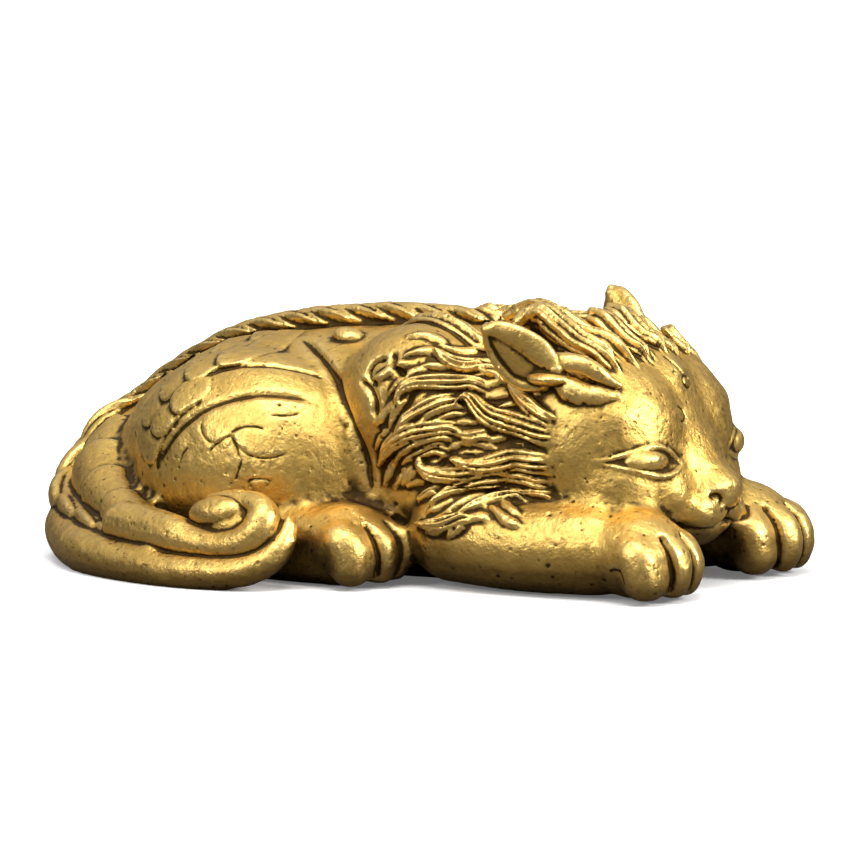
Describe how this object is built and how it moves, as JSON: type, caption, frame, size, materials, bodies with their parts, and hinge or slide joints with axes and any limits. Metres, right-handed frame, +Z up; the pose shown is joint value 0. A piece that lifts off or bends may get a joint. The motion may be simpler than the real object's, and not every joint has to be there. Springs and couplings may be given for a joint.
{
  "type": "qilin paperweight",
  "caption": "Solid brass paperweight cast as a sleeping qilin, chin on its forepaws and tail curled round one flank, resting on a flat underside.",
  "frame": {"origin": "on the flat underside, on the beast's plane of symmetry, under the middle of the back", "axes": "+X from the tail to the nose, +Y towards the beast's left flank, +Z up from the underside to the back; the tail curls round the right flank, on the -Y side"},
  "size_m": [0.1139, 0.0727, 0.0417],
  "materials": {
    "brass": "cast and rubbed bright on the high places, with brown patina left in the creases and pits"
  },
  "bodies": {
    "root": {"qilin": "brass"}
  },
  "joints": []
}
